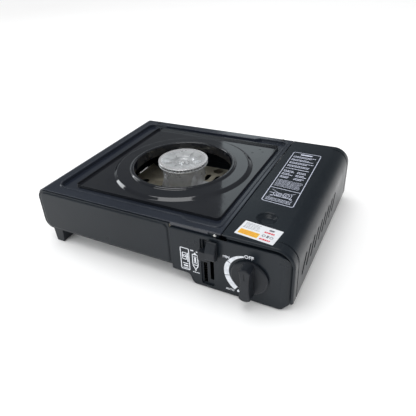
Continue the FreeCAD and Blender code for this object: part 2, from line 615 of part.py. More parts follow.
def mixing_tube():
    """Venturi tube from the injector to the burner cup, with air windows at its mouth."""
    x_end = BURNER_X + 40
    x_mouth = 52.0
    tube = turned_x([(7.5, x_end, 0), (9, x_end, 0), (8, x_end + 12, 6), (8, x_mouth - 16, 6),
                     (12, x_mouth - 10, 3), (12, x_mouth, 0.5), (10.6, x_mouth, 0.5),
                     (10.6, x_mouth - 9, 3), (6.6, x_mouth - 15.4, 5), (6.6, x_end + 12, 5)],
                    BURNER_Y, TUBE_Z)
    windows = []
    for angle in (45, 135, 225, 315):
        window = Part.makeBox(6, 7, 6, Vec(x_mouth - 8.5, -3.5, 8.5))
        window.rotate(Vec(0, 0, 0), Vec(1, 0, 0), angle)
        window.translate(Vec(0, BURNER_Y, TUBE_Z))
        windows.append(window)
    return cut(tube, *windows)


def injector():
    """Brass injector: hexagon, threaded neck and drilled nozzle pointing into the mixing tube."""
    hexagon = []
    for i in range(6):
        angle = math.radians(60 * i)
        hexagon.append((BURNER_Y + 5.5 * math.cos(angle), TUBE_Z + 5.5 * math.sin(angle), 0))
    head = prism_yz(hexagon, 58.3, 63)
    nozzle = turned_x([(0, 48, 0), (1.8, 48, 0.4), (3.4, 52, 0), (3.4, 58.3, 0), (0, 58.3, 0)],
                      BURNER_Y, TUBE_Z)
    orifice = cyl_x(47, 59, BURNER_Y, TUBE_Z, 0.5)
    bore = cyl_x(58.5, 66, BURNER_Y, TUBE_Z, 1.6)
    tail = cyl_x(63, 65, BURNER_Y, TUBE_Z, 3.0)
    return cut(fuse(head, nozzle, tail), orifice, bore)


def injector_bracket():
    """Upright bracket on the burner tray that carries the injector and the tube mouth."""
    upright = prism_yz([(-13, TRAY_TOP, 0), (14, TRAY_TOP, 0), (14, 60, 4), (-13, 60, 4)], 56.8, 58.2)
    foot = box(58.2, 66, -13, 14, TRAY_TOP, TRAY_TOP + 1.4)
    hole = cyl_x(50, 60, BURNER_Y, TUBE_Z, 3.4)
    return cut(fuse(upright, foot), hole)


def gas_pipe():
    """Pipe from the regulator outlet through the divider wall to the injector."""
    points = [Vec(108, -94, TUBE_Z), Vec(74, -94, TUBE_Z), Vec(74, BURNER_Y, TUBE_Z), Vec(65, BURNER_Y, TUBE_Z)]
    return pipe(points, [8.0, 5.0], 2.4)


def burner_tray():
    """Zinc-plated tray that stands on the floor and carries burner and injector."""
    plate = prism_xy([(-125, -92, 2), (68, -92, 2), (68, 92, 2), (-66, 92, 4), (-92, 49, 5), (-125, 70, 2)],
                     TRAY_TOP - 1, TRAY_TOP)
    walls = [box(-125, -124, -90, 67, FLOOR_LEFT + 1, TRAY_TOP - 0.5),
             box(-123, 36, -92, -91, FLOOR_LEFT + 1, TRAY_TOP - 0.5),
             box(-62, 36, 91, 92, FLOOR_LEFT + 1, TRAY_TOP - 0.5)]
    solid = fuse(plate, *walls)
    holes = [cyl_z(-104, 13, 28, 33, 6.5), cyl_z(-12, 82, 28, 33, 7.5), cyl_z(-70, -62, 28, 33, 8),
             cyl_z(20, -66, 28, 33, 8)]
    for i in range(3):
        holes.append(prism_xy(rectangle(-40 + 16 * i, -32 + 16 * i, 48, 68, 3.9), 28, 33))
    return cut(solid, *holes)


def burner_bracket():
    """Saddle between tray and burner cup."""
    base = prism_xy(rectangle(BURNER_X - 30, BURNER_X + 17, -14, 15, 4), TRAY_TOP, TRAY_TOP + 1.5)
    post = cyl_z(BURNER_X, BURNER_Y, TRAY_TOP + 1.5, 38, 9)
    holes = [cyl_z(x, BURNER_Y, TRAY_TOP - 1, TRAY_TOP + 3, 1.4) for x in SADDLE_SCREWS]
    return cut(fuse(base, post), *holes)


def bracket_screws():
    """Screws that fix the burner saddle to the tray."""
    screws = []
    for x in SADDLE_SCREWS:
        screws.append(screw_down(x, BURNER_Y, TRAY_TOP + 1.5, 2.6, 1.6, 1.4, 1.4))
    return Part.makeCompound(screws)


# ---------------------------------------------------------------- regulator and ignition
def front_bulkhead():
    """Plate across the cartridge bay that carries the regulator."""
    t = 1.2
    plate = prism_xz([(DIVIDER_X + SHEET, FLOOR_RIGHT + SHEET, 0), (159, FLOOR_RIGHT + SHEET, 7),
                      (167, 10.5, 3), (167, 66, 10), (104, 66, 5), (104, 56, 4), (DIVIDER_X + SHEET, 56, 0)],
                     -84, -84 + t)
    opening = cyl_y(CAN_X, -86, -80, CAN_Z, 16)
    wire_hole = cyl_y(97, -86, -80, 20, 5.6)
    return cut(plate, opening, wire_hole)


def regulator_body():
    """Die-cast regulator block with the valve chamber, outlet boss and spindle bore."""
    block = prism_xz([(110, 20, 4), (144, 20, 4), (144, 60, 4), (110, 60, 4)], -114, -84)
    neck = cyl_y(KNOB_X, -121, -114, KNOB_Z, 9)
    outlet = cyl_x(104, 110, -94, TUBE_Z, 5)
    seat = cyl_y(CAN_X, -84, -80, CAN_Z, 12)
    solid = fuse(block, neck, outlet, seat)
    spindle_bore = cyl_y(KNOB_X, -122, -98, KNOB_Z, SPINDLE_R + SPINDLE_PLAY)
    inlet = cyl_y(CAN_X, -92, -79, CAN_Z, 3)
    pipe_bore = cyl_x(103, 108, -94, TUBE_Z, 2.4)
    screw_bores = [cyl_z(x, y, 54, 61, SCREW_CORE_R) for x, y in cover_screw_places()]
    return cut(solid, spindle_bore, inlet, pipe_bore, *screw_bores)


def cover_screw_places():
    """Middles of the four screws round the diaphragm cover."""
    places = []
    for i in range(4):
        angle = math.radians(45 + 90 * i)
        places.append((CAN_X + COVER_SCREW_R * math.cos(angle), COVER_Y + COVER_SCREW_R * math.sin(angle)))
    return places


def regulator_cover():
    """Round diaphragm cover on top of the regulator."""
    cover = turned([(0, 60, 0), (15.5, 60, 0), (15.5, 62.5, 0), (11.5, 62.5, 1.0), (9.5, 67, 2.5), (0, 67, 0)],
                   CAN_X, COVER_Y)
    return cut(cover, *[cyl_z(x, y, 58, 64, SCREW_CORE_R) for x, y in cover_screw_places()])


def regulator_screws():
    """Four screws of the diaphragm cover."""
    screws = []
    for x, y in cover_screw_places():
        screws.append(fuse(cyl_z(x, y, 62.5, 64.0, 1.6), cyl_z(x, y, 54.5, 62.5, SCREW_CORE_R)))
    return Part.makeCompound(screws)


def cartridge_collar():
    """Ring with locating key that receives the cartridge flange."""
    ring = cut(cyl_y(CAN_X, -82.8, -78, CAN_Z, 21), cyl_y(CAN_X, -83, -77, CAN_Z, 17.5))
    plate = cut(cyl_y(CAN_X, -82.8, -81.6, CAN_Z, 21), cyl_y(CAN_X, -83, -81, CAN_Z, 12.2))
    key = box(CAN_X - 2.4, CAN_X + 2.4, -81.6, -76.5, CAN_Z + 14.5, CAN_Z + 21)
    return fuse(ring, plate, key)


def seal_ring():
    """Rubber seal round the cartridge valve."""
    return cut(cyl_y(CAN_X, -80, -78.6, CAN_Z, 7.5), cyl_y(CAN_X, -81, -78, CAN_Z, 3.2))


def valve_spindle():
    """Spindle from the knob into the regulator, with a flat for the knob."""
    return cyl_y(KNOB_X, -143, -98.5, KNOB_Z, SPINDLE_R)


def knob():
    """Round knob with a chamfered disc and a waisted grip bar that ends in the pointer."""
    back = KNOB_BACK
    disc = turned_y([(0, back, 0), (KNOB_R, back, 0.4), (KNOB_R, back - 2.2, 0.8),
                     (KNOB_R - 1.8, back - 3.4, 0.5), (0, back - 3.4, 0)], KNOB_X, KNOB_Z)
    grip_front = back - GRIP_LENGTH
    half = 21.4
    x = KNOB_X
    z = KNOB_Z
    left = Part.Arc(Vec(x - 6.2, back - 2, z + half - 3), Vec(x - 4.9, back - 2, z + 4),
                    Vec(x - 6.6, back - 2, z - half + 3)).toShape()
    foot = Part.Arc(Vec(x - 6.6, back - 2, z - half + 3), Vec(x, back - 2, z - half),
                    Vec(x + 6.6, back - 2, z - half + 3)).toShape()
    right = Part.Arc(Vec(x + 6.6, back - 2, z - half + 3), Vec(x + 4.9, back - 2, z + 4),
                     Vec(x + 6.2, back - 2, z + half - 3)).toShape()
    tip = Part.Arc(Vec(x + 6.2, back - 2, z + half - 3), Vec(x, back - 2, z + half),
                   Vec(x - 6.2, back - 2, z + half - 3)).toShape()
    grip = Part.Face(Part.Wire([left, foot, right, tip])).extrude(Vec(0, grip_front - back + 2, 0))
    rounded = [e for e in grip.Edges if abs(e.BoundBox.YMin - grip_front) < 0.01
               and e.BoundBox.YLength < 0.01]
    grip = grip.makeFillet(1.2, rounded)
    solid = fuse(disc, grip)
    pointer = prism_xz([(x - 0.7, z + 9, 0), (x + 0.7, z + 9, 0), (x + 0.7, z + 17, 0), (x - 0.7, z + 17, 0)],
                       grip_front - 1, grip_front + 0.5)
    bore = cyl_y(KNOB_X, -143, FRONT + 1, KNOB_Z, SPINDLE_R)
    return cut(solid, pointer, bore)


def piezo_igniter():
    """Piezo igniter: stepped plastic barrel beside the regulator."""
    return fuse(cyl_y(97, -118, -90, 20, 6), cyl_y(97, -90, -78, 20, 4), cyl_y(97, -120.5, -118, 20, 2.5))


def ignition_lead():
    """Lead from the igniter to the spark electrode, held between its two ends."""
    points = [Vec(97, -78, 20), Vec(97, -66, 20), Vec(97, -66, 40), Vec(72, -66, 40), Vec(40, -50, 36),
              Vec(0, -52, 36), Vec(-48, -38, 36), Vec(-68, 0, 36), Vec(ELECTRODE_X, ELECTRODE_Y, 36),
              Vec(ELECTRODE_X, ELECTRODE_Y, 50)]
    radii = [5.0, 5.0, 8.0, 14.0, 30.0, 20.0, 16.0, 5.5]
    return pipe(points, radii, 1.2)


def electrode():
    """Ceramic body of the spark electrode."""
    return turned([(0, 50, 0), (2.6, 50, 0.4), (2.6, 60, 0), (3.6, 60.5, 0), (3.6, 63, 0), (2.6, 63.5, 0),
                   (2.6, 74, 0.6), (0, 74, 0)], ELECTRODE_X, ELECTRODE_Y)


def electrode_tip():
    """Bent spark wire that points at the port ring."""
    x = ELECTRODE_X
    y = ELECTRODE_Y
    k = math.hypot(BURNER_X - x, BURNER_Y - y)
    ux = (BURNER_X - x) / k
    uy = (BURNER_Y - y) / k
    points = [Vec(x, y, 74), Vec(x, y, 82), Vec(x + ux * 5.5, y + uy * 5.5, 82)]
    return pipe(points, [2.5], 0.8)


def electrode_bracket():
    """Small upright on the tray that clamps the ceramic."""
    upright = box(ELECTRODE_X - 5, ELECTRODE_X + 5, ELECTRODE_Y + 4, ELECTRODE_Y + 5, TRAY_TOP, 58)
    shelf = box(ELECTRODE_X - 5, ELECTRODE_X + 5, ELECTRODE_Y - 5, ELECTRODE_Y + 4, 57, 58)
    hole = cyl_z(ELECTRODE_X, ELECTRODE_Y, 55, 60, 2.6)
    return cut(fuse(upright, shelf), hole)


# ---------------------------------------------------------------- cartridge lock
def lever_slider():
    """Sheet slider behind the panel: arm through the slot and cam plate with its inclined slot."""
    sheet = box(60.5, 79.2, -127.5, -126, 42, 64)
    arm = box(69.4, 72.6, -137, -127.5, 46, 56)
    cam = prism_yz([(-127.5, 42, 0), (-118, 27, 3), (-102, 27, 4), (-102, 62, 4), (-127.5, 62, 0)], 77.2, 79.2)
    lug = box(62, 70, -126, -112.5, 44, 45.5)
    solid = fuse(sheet, arm, cam, lug)
    reach = math.hypot(PUSH_TRAVEL, LEVER_TRAVEL)
    uy = -PUSH_TRAVEL / reach
    uz = LEVER_TRAVEL / reach
    half = PIN_R + PIN_PLAY
    ends = ((PIN_Y - uy * 0.1, PIN_Z - uz * 0.1), (PIN_Y + uy * (reach + 0.1), PIN_Z + uz * (reach + 0.1)))
    corners = [(ends[0][0] - uz * half, ends[0][1] + uy * half, 0),
               (ends[0][0] + uz * half, ends[0][1] - uy * half, 0),
               (ends[1][0] + uz * half, ends[1][1] - uy * half, 0),
               (ends[1][0] - uz * half, ends[1][1] + uy * half, 0)]
    slot = prism_yz(corners, 76, 80.5)
    rounds = [cyl_x(76, 80.5, y, z, half) for y, z in ends]
    return cut(solid, slot, *rounds)


def lever_knob():
    """Moulded lever knob: sleeve over the arm and rounded thumb piece to its right."""
    sleeve = prism_xz([(67, 44.5, 1.5), (79, 44.5, 1.5), (79, 55.5, 1.5), (67, 57, 1.5)], -139.5, -133.3)
    thumb = prism_yz([(-133.3, 47, 1.5), (-133.3, 70, 1.5), (-136.5, 70, 3), (-142.5, 60, 4),
                      (-142.5, 50, 4), (-138, 47, 2)], 77, 88.5)
    side = [e for e in thumb.Edges if e.BoundBox.XLength < 0.01 and e.BoundBox.YMin < -134
            and abs(e.BoundBox.XMin - 88.5) < 0.01]
    thumb = thumb.makeFillet(1.2, side)
    socket = box(69.4, 72.6, -137, -133, 46, 56)
    return cut(fuse(sleeve, thumb), socket)


def lever_guide():
    """Guide plate that keeps the slider against the back of the panel."""
    plate = box(55.5, 76.6, -125.3, -124.1, 47, 70)
    rail = box(55.5, 59.8, FRONT + SHEET, -125.3, 47, 70)
    return fuse(plate, rail)


def lever_spring():
    """Return spring under the slider."""
    height = 39.8
    turns = 11
    coil = Part.makeHelix(height / turns, height, 3.6)
    section = Part.Wire(Part.makeCircle(0.45, Vec(3.6, 0, 0), Vec(0, 1, 0)))
    solid = Part.Wire(coil).makePipeShell([section], True, True)
    solid.translate(Vec(66, -117, FLOOR_RIGHT + SHEET + 0.6))
    return solid


def pusher_rod():
    """Flat bar along the divider with the cam pin in front and the cross tab at the rear."""
    bar = box(ROD_X, ROD_X + 2, -113, 119, PIN_Z - 5, PIN_Z + 5)
    pin = cyl_x(76.6, ROD_X, PIN_Y, PIN_Z, PIN_R)
    tab = box(ROD_X + 2, 112, 117, 119, PIN_Z - 5, PIN_Z + 5)
    return fuse(bar, pin, tab)


def pusher_plate():
    """Round plate that presses the cartridge forward."""
    return turned_y([(0, 115.4, 0), (20, 115.4, 0.6), (20, 117, 0.6), (0, 117, 0)], CAN_X, CAN_Z)


def pusher_pad():
    """Rubber pad on the pusher plate."""
    return turned_y([(0, 111.4, 0), (11, 111.4, 1.5), (13, 115.4, 0), (0, 115.4, 0)], CAN_X, CAN_Z)


def rod_guides():
    """Two sheet guides on the divider that carry the pusher rod."""
    guides = []
    for y in (-52, 60):
        block = box(ROD_X - 2.4, DIVIDER_X, y, y + 8, PIN_Z - 7.6, PIN_Z + 7.6)
        channel = box(ROD_X - 0.4, ROD_X + 2.4, y - 1, y + 9, PIN_Z - 5.4, PIN_Z + 5.4)
        guides.append(cut(block, channel))
    return Part.makeCompound(guides)


def cartridge_cradles():
    """Two formed cross ribs on the tray floor that carry the cartridge."""
    ribs = []
    for y in (-40, 62):
        rib = box(95, 156, y, y + 1.5, FLOOR_RIGHT + SHEET, 18)
        ribs.append(cut(rib, cyl_y(CAN_X, y - 1, y + 3, CAN_Z, 35.5)))
    solids = []
    for rib in ribs:
        solids.extend(rib.Solids)
    return Part.makeCompound(solids)


# ---------------------------------------------------------------- assembly
def build_all():
    parts["body_shell"] = body_shell()
    parts["control_panel"] = control_panel()
    parts["top_plate"] = top_plate()
    parts["plate_screws"] = plate_screws()
    parts["divider_wall"] = divider_wall()
    parts["gap_rivet"] = gap_rivet()
    parts["lid_hinge_pins"] = hinge_pins()
    parts["cartridge_lid"] = lid()
    parts["lid_label"] = lid_label()
    parts["foot_front_left"] = foot_left(-1)
    parts["foot_rear_left"] = foot_left(1)
    parts["foot_pads"] = foot_pads()
    parts["panel_screws"] = panel_screws()
    parts["drip_pan"] = drip_pan()
    corners = (("front_left", -1, -1), ("front_right", 1, -1), ("rear_left", -1, 1), ("rear_right", 1, 1))
    for name, sx, sy in corners:
        parts["pot_support_" + name] = pot_support(sx, sy)
    parts["burner_cup"] = burner_cup()
    parts["burner_port_ring"] = burner_ring()
    parts["burner_cap"] = burner_cap()
    parts["mixing_tube"] = mixing_tube()
    parts["injector"] = injector()
    parts["injector_bracket"] = injector_bracket()
    parts["gas_pipe"] = gas_pipe()
    parts["burner_tray"] = burner_tray()
    parts["burner_bracket"] = burner_bracket()
    parts["bracket_screws"] = bracket_screws()
    parts["front_bulkhead"] = front_bulkhead()
    parts["regulator_body"] = regulator_body()
    parts["regulator_cover"] = regulator_cover()
    parts["regulator_screws"] = regulator_screws()
    parts["cartridge_collar"] = cartridge_collar()
    parts["seal_ring"] = seal_ring()
    parts["valve_spindle"] = valve_spindle()
    parts["knob"] = knob()
    parts["piezo_igniter"] = piezo_igniter()
    parts["ignition_lead"] = ignition_lead()
    parts["electrode_ceramic"] = electrode()
    parts["electrode_tip"] = electrode_tip()
    parts["electrode_bracket"] = electrode_bracket()
    parts["lever_slider"] = lever_slider()
    parts["lever_knob"] = lever_knob()
    parts["lever_guide"] = lever_guide()
    parts["lever_spring"] = lever_spring()
    parts["pusher_rod"] = pusher_rod()
    parts["pusher_plate"] = pusher_plate()
    parts["pusher_pad"] = pusher_pad()
    parts["rod_guides"] = rod_guides()
    parts["cartridge_cradles"] = cartridge_cradles()


build_all()
os.makedirs("parts", exist_ok=True)
for name, shape in parts.items():
    shape.translate(Vec(0, CENTRE_SHIFT, 0))
    shape.exportStep("parts/" + name + ".step")
    print("%-26s valid %s solids %d volume %.1f" % (name, shape.isValid(), len(shape.Solids), shape.Volume))
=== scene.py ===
import json
import math
import random

import bmesh
import bpy
from mathutils import Matrix, Vector

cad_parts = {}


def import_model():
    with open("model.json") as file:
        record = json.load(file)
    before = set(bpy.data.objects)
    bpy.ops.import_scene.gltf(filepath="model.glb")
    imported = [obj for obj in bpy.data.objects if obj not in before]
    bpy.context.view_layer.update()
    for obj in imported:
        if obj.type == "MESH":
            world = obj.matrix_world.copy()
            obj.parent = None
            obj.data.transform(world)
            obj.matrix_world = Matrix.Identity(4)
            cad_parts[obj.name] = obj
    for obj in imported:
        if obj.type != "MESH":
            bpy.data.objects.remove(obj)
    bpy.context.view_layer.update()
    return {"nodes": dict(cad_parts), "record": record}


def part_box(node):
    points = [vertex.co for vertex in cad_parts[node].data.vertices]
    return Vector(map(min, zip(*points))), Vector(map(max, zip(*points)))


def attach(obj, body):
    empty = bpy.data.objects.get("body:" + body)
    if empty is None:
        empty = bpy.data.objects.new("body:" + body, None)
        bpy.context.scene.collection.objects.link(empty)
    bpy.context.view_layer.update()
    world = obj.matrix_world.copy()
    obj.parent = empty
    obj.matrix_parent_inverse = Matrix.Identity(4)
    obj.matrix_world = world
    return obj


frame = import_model()
nodes = frame["nodes"]
MM = 0.001


# ------------------------------------------------------------------ places taken from the frame
panel_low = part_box("control_panel")[0]
lid_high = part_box("cartridge_lid")[1]
knob_low, knob_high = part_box("knob")
cap_low, cap_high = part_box("burner_cap")
label_low, label_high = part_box("lid_label")
PANEL_Y = panel_low.y
LID_Z = lid_high.z
KNOB_X = (knob_low.x + knob_high.x) / 2
KNOB_Z = (knob_low.z + knob_high.z) / 2
BURNER = Vector(((cap_low.x + cap_high.x) / 2, (cap_low.y + cap_high.y) / 2, cap_high.z))
CASE_MIDDLE_Y = 8.5 * MM


# ------------------------------------------------------------------ shader graphs
class Graph:
    """Small helper round one material's node tree; every pattern is in metres of the frame."""

    def __init__(self, name):
        self.material = bpy.data.materials.new(name)
        self.material.use_nodes = True
        self.tree = self.material.node_tree
        self.tree.nodes.clear()
        self.output = self.add("ShaderNodeOutputMaterial")
        self.shader = self.add("ShaderNodeBsdfPrincipled")
        self.link(self.shader.outputs[0], self.output.inputs[0])
        self.place = self.add("ShaderNodeTexCoord").outputs["Object"]

    def add(self, kind, **settings):
        node = self.tree.nodes.new(kind)
        for key, value in settings.items():
            setattr(node, key, value)
        return node

    def link(self, source, target):
        self.tree.links.new(source, target)

    def set(self, name, value):
        socket = self.shader.inputs[name]
        if isinstance(value, bpy.types.NodeSocket):
            self.link(value, socket)
        else:
            socket.default_value = value

    def stretched(self, x, y, z, turn=(0, 0, 0)):
        node = self.add("ShaderNodeMapping")
        self.link(self.place, node.inputs["Vector"])
        node.inputs["Scale"].default_value = (x, y, z)
        node.inputs["Rotation"].default_value = turn
        return node.outputs[0]

    def noise(self, scale, detail, rough, where=None):
        node = self.add("ShaderNodeTexNoise")
        self.link(where or self.place, node.inputs["Vector"])
        node.inputs["Scale"].default_value = scale
        node.inputs["Detail"].default_value = detail
        node.inputs["Roughness"].default_value = rough
        return node.outputs[0]

    def cells(self, scale, output="Distance"):
        node = self.add("ShaderNodeTexVoronoi")
        self.link(self.place, node.inputs["Vector"])
        node.inputs["Scale"].default_value = scale
        return node.outputs[output]

    def fit(self, value, low, high, new_low, new_high):
        node = self.add("ShaderNodeMapRange")
        self.link(value, node.inputs["Value"])
        node.inputs["From Min"].default_value = low
        node.inputs["From Max"].default_value = high
        node.inputs["To Min"].default_value = new_low
        node.inputs["To Max"].default_value = new_high
        return node.outputs[0]

    def sum(self, first, second, operation="ADD"):
        node = self.add("ShaderNodeMath", operation=operation)
        for socket, value in zip(node.inputs, (first, second)):
            if isinstance(value, bpy.types.NodeSocket):
                self.link(value, socket)
            else:
                socket.default_value = value
        return node.outputs[0]

    def blend(self, factor, first, second):
        node = self.add("ShaderNodeMix", data_type="RGBA")
        sockets = (node.inputs[0], node.inputs[6], node.inputs[7])
        for socket, value in zip(sockets, (factor, first, second)):
            if isinstance(value, bpy.types.NodeSocket):
                self.link(value, socket)
            elif isinstance(value, (tuple, list)):
                socket.default_value = (*value, 1.0)
            else:
                socket.default_value = value
        return node.outputs[2]

    def bump(self, height, distance, strength=1.0, base=None):
        node = self.add("ShaderNodeBump")
        node.inputs["Distance"].default_value = distance
        node.inputs["Strength"].default_value = strength
        self.link(height, node.inputs["Height"])
        if base is not None:
            self.link(base, node.inputs["Normal"])
        return node.outputs[0]

    def soft_edges(self, radius):
        node = self.add("ShaderNodeBevel", samples=4)
        node.inputs["Radius"].default_value = radius
        return node.outputs[0]

    def split(self):
        node = self.add("ShaderNodeSeparateXYZ")
        self.link(self.place, node.inputs[0])
        return node.outputs

    def radius_from(self, x, y):
        parts = self.split()
        dx = self.sum(parts[0], x, "SUBTRACT")
        dy = self.sum(parts[1], y, "SUBTRACT")
        square = self.sum(self.sum(dx, dx, "MULTIPLY"), self.sum(dy, dy, "MULTIPLY"))
        return self.sum(square, 0.5, "POWER")


def coated_steel(name, dark, light, rough, grain, edge, coat=0.0, spec=0.5):
    """Painted or powder-coated sheet: cloudy tone, fine grain, faint rubbed streaks, settled dust."""
    g = Graph(name)
    cloud = g.noise(9, 4, 0.55)
    tone = g.blend(g.fit(cloud, 0.3, 0.7, 0.0, 1.0), dark, light)
    dust = g.fit(g.noise(900, 2, 0.6), 0.62, 0.80, 0.0, 0.16)
    tone = g.blend(dust, tone, (0.10, 0.105, 0.11))
    streak_place = g.stretched(1.0, 0.035, 1.0, (0.0, 0.0, 0.35))
    streak = g.fit(g.noise(1500, 2, 0.5, streak_place), 0.66, 0.74, 0.0, 0.10)
    tone = g.blend(streak, tone, (0.10, 0.105, 0.115))
    g.set("Base Color", tone)
    handling = g.fit(g.noise(24, 5, 0.6), 0.25, 0.75, rough - 0.05, rough + 0.07)
    g.set("Roughness", g.sum(handling, g.sum(streak, 0.8, "MULTIPLY")))
    g.set("Specular IOR Level", spec)
    if coat:
        g.set("Coat Weight", coat)
        g.set("Coat Roughness", 0.12)
    peel = g.bump(g.noise(420, 2, 0.5), 0.00004 * grain, 1.0, g.soft_edges(edge))
    g.set("Normal", g.bump(g.noise(2600, 3, 0.6), 0.000028 * grain, 1.0, peel))
    return g.material


def glossy_enamel(name, dark, light):
    """Fired enamel: deep gloss with a slow ripple, small craters and a few settled specks."""
    g = Graph(name)
    tone = g.blend(g.fit(g.noise(14, 3, 0.5), 0.3, 0.7, 0.0, 1.0), dark, light)
    speck = g.fit(g.cells(330), 0.0, 0.055, 0.55, 0.0)
    tone = g.blend(speck, tone, (0.11, 0.11, 0.12))
    g.set("Base Color", tone)
    g.set("Roughness", g.fit(g.noise(30, 4, 0.6), 0.25, 0.75, 0.045, 0.11))
    g.set("Specular IOR Level", 0.62)
    g.set("Coat Weight", 0.35)
    g.set("Coat Roughness", 0.04)
    ripple = g.bump(g.noise(38, 2, 0.4), 0.00022, 1.0, g.soft_edges(0.0004))
    peel = g.bump(g.noise(260, 2, 0.5), 0.000022, 1.0, ripple)
    crater = g.fit(g.cells(150), 0.0, 0.03, 0.0, 1.0)
    g.set("Normal", g.bump(crater, 0.00004, 1.0, peel))
    return g.material


def plated_sheet(name, dark, light, rough):
    """Zinc-plated sheet: faint crystal flowers, rolling marks and dull stains."""
    g = Graph(name)
    flower = g.cells(85, "Color")
    grey = g.add("ShaderNodeRGBToBW")
    g.link(flower, grey.inputs[0])
    flowers = g.sum(grey.outputs[0], 0.35, "MULTIPLY")
    mixed = g.sum(flowers, g.sum(g.noise(26, 4, 0.6), 0.65, "MULTIPLY"))
    tone = g.blend(g.fit(mixed, 0.3, 0.7, 0.0, 1.0), dark, light)
    stain = g.fit(g.noise(11, 5, 0.65), 0.56, 0.74, 0.0, 0.35)
    g.set("Base Color", g.blend(stain, tone, (0.33, 0.29, 0.22)))
    g.set("Metallic", 0.72)
    g.set("Roughness", g.fit(mixed, 0.3, 0.7, rough - 0.08, rough + 0.10))
    rolled = g.noise(900, 2, 0.5, g.stretched(0.04, 1.0, 1.0))
    fine = g.bump(rolled, 0.000012, 1.0, g.soft_edges(0.0002))
    g.set("Normal", g.bump(g.noise(700, 3, 0.6), 0.000018, 1.0, fine))
    return g.material


def cast_metal(name, dark, light, rough, machined_above):
    """Die-cast aluminium: grainy skin with stains, and turned rings where a face is machined."""
    g = Graph(name)
    tone = g.blend(g.fit(g.noise(95, 5, 0.65), 0.3, 0.7, 0.0, 1.0), dark, light)
    soot = g.fit(g.noise(42, 4, 0.6), 0.58, 0.76, 0.0, 0.45)
    tone = g.blend(soot, tone, (0.30, 0.29, 0.28))
    g.set("Metallic", 0.72)
    grain = g.bump(g.noise(1500, 4, 0.7), 0.00007, 1.0, g.soft_edges(0.0003))
    pits = g.fit(g.cells(620), 0.0, 0.25, 0.0, 1.0)
    skin = g.bump(pits, 0.00005, 1.0, grain)
    roughness = g.fit(g.noise(60, 3, 0.5), 0.3, 0.7, rough - 0.06, rough + 0.08)
    face = g.fit(g.split()[2], machined_above - 0.00012, machined_above, 0.0, 1.0)
    tone = g.blend(face, tone, (0.88, 0.87, 0.88))
    rings = g.sum(g.sum(g.radius_from(BURNER.x, BURNER.y), 16000.0, "MULTIPLY"), 0.0, "SINE")
    g.set("Normal", g.bump(g.sum(rings, face, "MULTIPLY"), 0.000006, 1.0, skin))
    roughness = g.sum(roughness, g.sum(face, 0.14, "MULTIPLY"), "SUBTRACT")
    g.set("Base Color", tone)
    g.set("Roughness", roughness)
    return g.material


def bright_metal(name, dark, light, rough):
    """Machined or drawn metal with handling marks."""
    g = Graph(name)
    g.set("Base Color", g.blend(g.fit(g.noise(60, 4, 0.6), 0.3, 0.7, 0.0, 1.0), dark, light))
    g.set("Metallic", 1.0)
    g.set("Roughness", g.fit(g.noise(130, 4, 0.6), 0.25, 0.75, rough - 0.06, rough + 0.10))
    grooves = g.noise(1800, 2, 0.5, g.stretched(0.08, 1.0, 1.0))
    drawn = g.bump(grooves, 0.00001, 1.0, g.soft_edges(0.00015))
    g.set("Normal", g.bump(g.noise(420, 3, 0.6), 0.000016, 1.0, drawn))
    return g.material


def moulded(name, dark, light, rough, grain=0.00002, spec=0.5):
    """Moulded plastic or rubber with an eroded-tool grain and fingerprints in its gloss."""
    g = Graph(name)
    tone = g.blend(g.fit(g.noise(45, 4, 0.6), 0.3, 0.7, 0.0, 1.0), dark, light)
    lint = g.fit(g.cells(900), 0.0, 0.05, 0.30, 0.0)
    g.set("Base Color", g.blend(lint, tone, (0.24, 0.24, 0.24)))
    g.set("Roughness", g.fit(g.noise(70, 5, 0.6), 0.25, 0.75, rough - 0.06, rough + 0.08))
    g.set("Specular IOR Level", spec)
    broad = g.bump(g.noise(120, 2, 0.5), 0.00004, 1.0, g.soft_edges(0.0003))
    g.set("Normal", g.bump(g.noise(3200, 3, 0.65), grain, 1.0, broad))
    return g.material


def printed(name, dark, light, rough=0.5, worn=0.10):
    """Screen-printed ink: slightly uneven, with pinholes and rubbed spots."""
    g = Graph(name)
    tone = g.blend(g.fit(g.noise(240, 4, 0.6), 0.3, 0.7, 0.0, 1.0), dark, light)
    rubbed = g.fit(g.noise(700, 3, 0.6), 0.60, 0.72, 0.0, worn)
    g.set("Base Color", g.blend(rubbed, tone, (0.10, 0.11, 0.12)))
    g.set("Roughness", g.fit(g.noise(320, 3, 0.6), 0.3, 0.7, rough - 0.05, rough + 0.08))
    g.set("Normal", g.bump(g.noise(1500, 3, 0.6), 0.00001))
    return g.material


